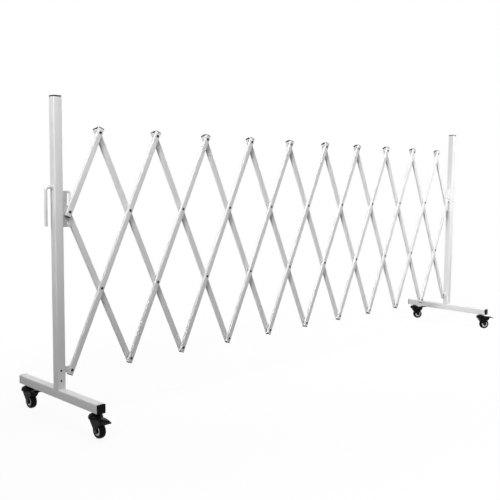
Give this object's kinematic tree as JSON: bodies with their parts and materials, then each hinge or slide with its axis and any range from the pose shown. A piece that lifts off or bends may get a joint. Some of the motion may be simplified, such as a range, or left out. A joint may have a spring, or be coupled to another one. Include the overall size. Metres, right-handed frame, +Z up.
{
  "type": "expandable safety barrier",
  "caption": "Folding scissor-lattice barrier of riveted steel slats between two square posts on wheeled feet, with a hook and eyes for linking.",
  "frame": {"origin": "on the floor under the middle of the object's box", "axes": "+X runs along the lattice from the hooked post to the post with the eyes, +Y goes from the front layer of slats to the back layer, +Z up"},
  "size_m": [2.6042, 0.5268, 1.0678],
  "materials": {
    "white_powder_coat": "satin powder coat on steel",
    "black_plastic": "moulded, slightly satin",
    "tyre_rubber": "matt",
    "grey_hub_plastic": "moulded",
    "blackened_steel": "blackened"
  },
  "bodies": {
    "left_stand": {"left_coupling_hook": "white_powder_coat", "left_foot_beam": "white_powder_coat", "left_front_caster_stem": "blackened_steel", "left_front_end_plug": "black_plastic", "left_pivot_bracket": "white_powder_coat", "left_post": "white_powder_coat", "left_post_cap": "black_plastic", "left_rear_caster_stem": "blackened_steel", "left_rear_end_plug": "black_plastic", "left_slot_bracket": "white_powder_coat"},
    "right_stand": {"right_foot_beam": "white_powder_coat", "right_front_caster_stem": "blackened_steel", "right_front_end_plug": "black_plastic", "right_lower_eye": "white_powder_coat", "right_pivot_bracket": "white_powder_coat", "right_post": "white_powder_coat", "right_post_cap": "black_plastic", "right_rear_caster_stem": "blackened_steel", "right_rear_end_plug": "black_plastic", "right_slot_bracket": "white_powder_coat", "right_upper_eye": "white_powder_coat"},
    "back_slat_01": {"back_slat_01": "white_powder_coat"},
    "back_slat_02": {"back_slat_02": "white_powder_coat"},
    "back_slat_03": {"back_slat_03": "white_powder_coat"},
    "back_slat_04": {"back_slat_04": "white_powder_coat"},
    "back_slat_05": {"back_slat_05": "white_powder_coat"},
    "back_slat_06": {"back_slat_06": "white_powder_coat"},
    "back_slat_07": {"back_slat_07": "white_powder_coat"},
    "back_slat_08": {"back_slat_08": "white_powder_coat"},
    "back_slat_09": {"back_slat_09": "white_powder_coat"},
    "back_slat_10": {"back_slat_10": "white_powder_coat"},
    "back_slat_11": {"back_slat_11": "white_powder_coat"},
    "front_slat_01": {"front_slat_01": "white_powder_coat"},
    "front_slat_02": {"front_slat_02": "white_powder_coat"},
    "front_slat_03": {"front_slat_03": "white_powder_coat"},
    "front_slat_04": {"front_slat_04": "white_powder_coat"},
    "front_slat_05": {"front_slat_05": "white_powder_coat"},
    "front_slat_06": {"front_slat_06": "white_powder_coat"},
    "front_slat_07": {"front_slat_07": "white_powder_coat"},
    "front_slat_08": {"front_slat_08": "white_powder_coat"},
    "front_slat_09": {"front_slat_09": "white_powder_coat"},
    "front_slat_10": {"front_slat_10": "white_powder_coat"},
    "front_slat_11": {"front_slat_11": "white_powder_coat"},
    "left_front_caster": {"left_front_caster_fork": "black_plastic"},
    "left_front_pedal": {"left_front_brake_pedal": "black_plastic"},
    "left_front_wheel": {"left_front_tyre": "tyre_rubber", "left_front_wheel_hub": "grey_hub_plastic"},
    "left_rear_caster": {"left_rear_caster_fork": "black_plastic"},
    "left_rear_pedal": {"left_rear_brake_pedal": "black_plastic"},
    "left_rear_wheel": {"left_rear_tyre": "tyre_rubber", "left_rear_wheel_hub": "grey_hub_plastic"},
    "right_front_caster": {"right_front_caster_fork": "black_plastic"},
    "right_front_pedal": {"right_front_brake_pedal": "black_plastic"},
    "right_front_wheel": {"right_front_tyre": "tyre_rubber", "right_front_wheel_hub": "grey_hub_plastic"},
    "right_rear_caster": {"right_rear_caster_fork": "black_plastic"},
    "right_rear_pedal": {"right_rear_brake_pedal": "black_plastic"},
    "right_rear_wheel": {"right_rear_tyre": "tyre_rubber", "right_rear_wheel_hub": "grey_hub_plastic"}
  },
  "joints": [
    {"name": "lattice_fold", "type": "hinge", "parent": "left_stand", "child": "front_slat_02", "pos_m": [-1.21643, 0.0186, 0.167], "axis": [0, 1, 0], "range_deg": [-22.4, 7.5]},
    {"name": "back_slat_03_pivot", "type": "hinge", "parent": "front_slat_02", "child": "back_slat_03", "pos_m": [-0.85433, 0.0186, 0.95807], "axis": [0, 1, 0], "range_deg": [-15.1, 44.9]},
    {"name": "front_slat_05_pivot", "type": "hinge", "parent": "back_slat_03", "child": "front_slat_05", "pos_m": [-0.49223, 0.0186, 0.167], "axis": [0, 1, 0], "range_deg": [-44.9, 15.1]},
    {"name": "back_slat_06_pivot", "type": "hinge", "parent": "front_slat_05", "child": "back_slat_06", "pos_m": [-0.13013, 0.0186, 0.95807], "axis": [0, 1, 0], "range_deg": [-15.1, 44.9]},
    {"name": "front_slat_08_pivot", "type": "hinge", "parent": "back_slat_06", "child": "front_slat_08", "pos_m": [0.23197, 0.0186, 0.167], "axis": [0, 1, 0], "range_deg": [-44.9, 15.1]},
    {"name": "back_slat_09_pivot", "type": "hinge", "parent": "front_slat_08", "child": "back_slat_09", "pos_m": [0.59407, 0.0186, 0.95807], "axis": [0, 1, 0], "range_deg": [-15.1, 44.9]},
    {"name": "front_slat_11_pivot", "type": "hinge", "parent": "back_slat_09", "child": "front_slat_11", "pos_m": [0.95617, 0.0186, 0.167], "axis": [0, 1, 0], "range_deg": [-44.9, 15.1]},
    {"name": "back_slat_10_pivot", "type": "hinge", "parent": "front_slat_11", "child": "back_slat_10", "pos_m": [1.07687, 0.0186, 0.43069], "axis": [0, 1, 0], "range_deg": [-15.1, 44.9]},
    {"name": "right_stand_pivot", "type": "hinge", "parent": "back_slat_10", "child": "right_stand", "pos_m": [1.19757, 0.0186, 0.167], "axis": [0, 1, 0], "range_deg": [-22.5, 7.6]},
    {"name": "back_slat_01_pivot", "type": "hinge", "parent": "front_slat_02", "child": "back_slat_01", "pos_m": [-1.09573, 0.0186, 0.43069], "axis": [0, 1, 0], "range_deg": [-15.1, 44.9]},
    {"name": "back_slat_02_pivot", "type": "hinge", "parent": "front_slat_02", "child": "back_slat_02", "pos_m": [-0.97503, 0.0186, 0.69438], "axis": [0, 1, 0], "range_deg": [-15.1, 44.9]},
    {"name": "front_slat_01_pivot", "type": "hinge", "parent": "back_slat_01", "child": "front_slat_01", "pos_m": [-1.21643, 0.0186, 0.69438], "axis": [0, 1, 0], "range_deg": [-44.9, 15.1]},
    {"name": "front_slat_03_pivot", "type": "hinge", "parent": "back_slat_03", "child": "front_slat_03", "pos_m": [-0.73363, 0.0186, 0.69438], "axis": [0, 1, 0], "range_deg": [-44.9, 15.1]},
    {"name": "front_slat_04_pivot", "type": "hinge", "parent": "back_slat_03", "child": "front_slat_04", "pos_m": [-0.61293, 0.0186, 0.43069], "axis": [0, 1, 0], "range_deg": [-44.9, 15.1]},
    {"name": "back_slat_04_pivot", "type": "hinge", "parent": "front_slat_05", "child": "back_slat_04", "pos_m": [-0.37153, 0.0186, 0.43069], "axis": [0, 1, 0], "range_deg": [-15.1, 44.9]},
    {"name": "back_slat_05_pivot", "type": "hinge", "parent": "front_slat_05", "child": "back_slat_05", "pos_m": [-0.25083, 0.0186, 0.69438], "axis": [0, 1, 0], "range_deg": [-15.1, 44.9]},
    {"name": "front_slat_06_pivot", "type": "hinge", "parent": "back_slat_06", "child": "front_slat_06", "pos_m": [-0.00943, 0.0186, 0.69438], "axis": [0, 1, 0], "range_deg": [-44.9, 15.1]},
    {"name": "front_slat_07_pivot", "type": "hinge", "parent": "back_slat_06", "child": "front_slat_07", "pos_m": [0.11127, 0.0186, 0.43069], "axis": [0, 1, 0], "range_deg": [-44.9, 15.1]},
    {"name": "back_slat_07_pivot", "type": "hinge", "parent": "front_slat_08", "child": "back_slat_07", "pos_m": [0.35267, 0.0186, 0.43069], "axis": [0, 1, 0], "range_deg": [-15.1, 44.9]},
    {"name": "back_slat_08_pivot", "type": "hinge", "parent": "front_slat_08", "child": "back_slat_08", "pos_m": [0.47337, 0.0186, 0.69438], "axis": [0, 1, 0], "range_deg": [-15.1, 44.9]},
    {"name": "front_slat_09_pivot", "type": "hinge", "parent": "back_slat_09", "child": "front_slat_09", "pos_m": [0.71477, 0.0186, 0.69438], "axis": [0, 1, 0], "range_deg": [-44.9, 15.1]},
    {"name": "front_slat_10_pivot", "type": "hinge", "parent": "back_slat_09", "child": "front_slat_10", "pos_m": [0.83547, 0.0186, 0.43069], "axis": [0, 1, 0], "range_deg": [-44.9, 15.1]},
    {"name": "back_slat_11_pivot", "type": "hinge", "parent": "front_slat_11", "child": "back_slat_11", "pos_m": [1.19757, 0.0186, 0.69438], "axis": [0, 1, 0], "range_deg": [-15.1, 44.9]},
    {"name": "left_front_swivel", "type": "hinge", "parent": "left_stand", "child": "left_front_caster", "pos_m": [-1.25793, -0.1929, 0.0604], "axis": [0, 0, 1], "continuous": true},
    {"name": "left_front_wheel_spin", "type": "hinge", "parent": "left_front_caster", "child": "left_front_wheel", "pos_m": [-1.25793, -0.2129, 0.025], "axis": [1, 0, 0], "continuous": true},
    {"name": "left_front_pedal_press", "type": "hinge", "parent": "left_front_caster", "child": "left_front_pedal", "pos_m": [-1.25793, -0.2259, 0.0575], "axis": [1, 0, 0], "range_deg": [-14, 0]},
    {"name": "left_rear_swivel", "type": "hinge", "parent": "left_stand", "child": "left_rear_caster", "pos_m": [-1.25793, 0.2301, 0.0604], "axis": [0, 0, 1], "continuous": true},
    {"name": "left_rear_wheel_spin", "type": "hinge", "parent": "left_rear_caster", "child": "left_rear_wheel", "pos_m": [-1.25793, 0.2101, 0.025], "axis": [1, 0, 0], "continuous": true},
    {"name": "left_rear_pedal_press", "type": "hinge", "parent": "left_rear_caster", "child": "left_rear_pedal", "pos_m": [-1.25793, 0.1971, 0.0575], "axis": [1, 0, 0], "range_deg": [0, 14]},
    {"name": "right_front_swivel", "type": "hinge", "parent": "right_stand", "child": "right_front_caster", "pos_m": [1.23907, -0.1929, 0.0604], "axis": [0, 0, 1], "continuous": true},
    {"name": "right_front_wheel_spin", "type": "hinge", "parent": "right_front_caster", "child": "right_front_wheel", "pos_m": [1.25504, -0.20494, 0.025], "axis": [0.6018, 0.7986, 0], "continuous": true},
    {"name": "right_front_pedal_press", "type": "hinge", "parent": "right_front_caster", "child": "right_front_pedal", "pos_m": [1.26542, -0.21276, 0.0575], "axis": [0.6018, 0.7986, 0], "range_deg": [-14, 0]},
    {"name": "right_rear_swivel", "type": "hinge", "parent": "right_stand", "child": "right_rear_caster", "pos_m": [1.23907, 0.2301, 0.0604], "axis": [0, 0, 1], "continuous": true},
    {"name": "right_rear_wheel_spin", "type": "hinge", "parent": "right_rear_caster", "child": "right_rear_wheel", "pos_m": [1.25504, 0.21806, 0.025], "axis": [0.6018, 0.7986, 0], "continuous": true},
    {"name": "right_rear_pedal_press", "type": "hinge", "parent": "right_rear_caster", "child": "right_rear_pedal", "pos_m": [1.26542, 0.21024, 0.0575], "axis": [0.6018, 0.7986, 0], "range_deg": [0, 14]}
  ],
  "couplings": [
    {"joint": "back_slat_03_pivot", "follows": "lattice_fold", "ratio": -2},
    {"joint": "front_slat_05_pivot", "follows": "lattice_fold", "ratio": 2},
    {"joint": "back_slat_06_pivot", "follows": "lattice_fold", "ratio": -2},
    {"joint": "front_slat_08_pivot", "follows": "lattice_fold", "ratio": 2},
    {"joint": "back_slat_09_pivot", "follows": "lattice_fold", "ratio": -2},
    {"joint": "front_slat_11_pivot", "follows": "lattice_fold", "ratio": 2},
    {"joint": "back_slat_10_pivot", "follows": "lattice_fold", "ratio": -2},
    {"joint": "right_stand_pivot", "follows": "lattice_fold", "ratio": 1},
    {"joint": "back_slat_01_pivot", "follows": "lattice_fold", "ratio": -2},
    {"joint": "back_slat_02_pivot", "follows": "lattice_fold", "ratio": -2},
    {"joint": "front_slat_01_pivot", "follows": "lattice_fold", "ratio": 2},
    {"joint": "front_slat_03_pivot", "follows": "lattice_fold", "ratio": 2},
    {"joint": "front_slat_04_pivot", "follows": "lattice_fold", "ratio": 2},
    {"joint": "back_slat_04_pivot", "follows": "lattice_fold", "ratio": -2},
    {"joint": "back_slat_05_pivot", "follows": "lattice_fold", "ratio": -2},
    {"joint": "front_slat_06_pivot", "follows": "lattice_fold", "ratio": 2},
    {"joint": "front_slat_07_pivot", "follows": "lattice_fold", "ratio": 2},
    {"joint": "back_slat_07_pivot", "follows": "lattice_fold", "ratio": -2},
    {"joint": "back_slat_08_pivot", "follows": "lattice_fold", "ratio": -2},
    {"joint": "front_slat_09_pivot", "follows": "lattice_fold", "ratio": 2},
    {"joint": "front_slat_10_pivot", "follows": "lattice_fold", "ratio": 2},
    {"joint": "back_slat_11_pivot", "follows": "lattice_fold", "ratio": -2}
  ]
}
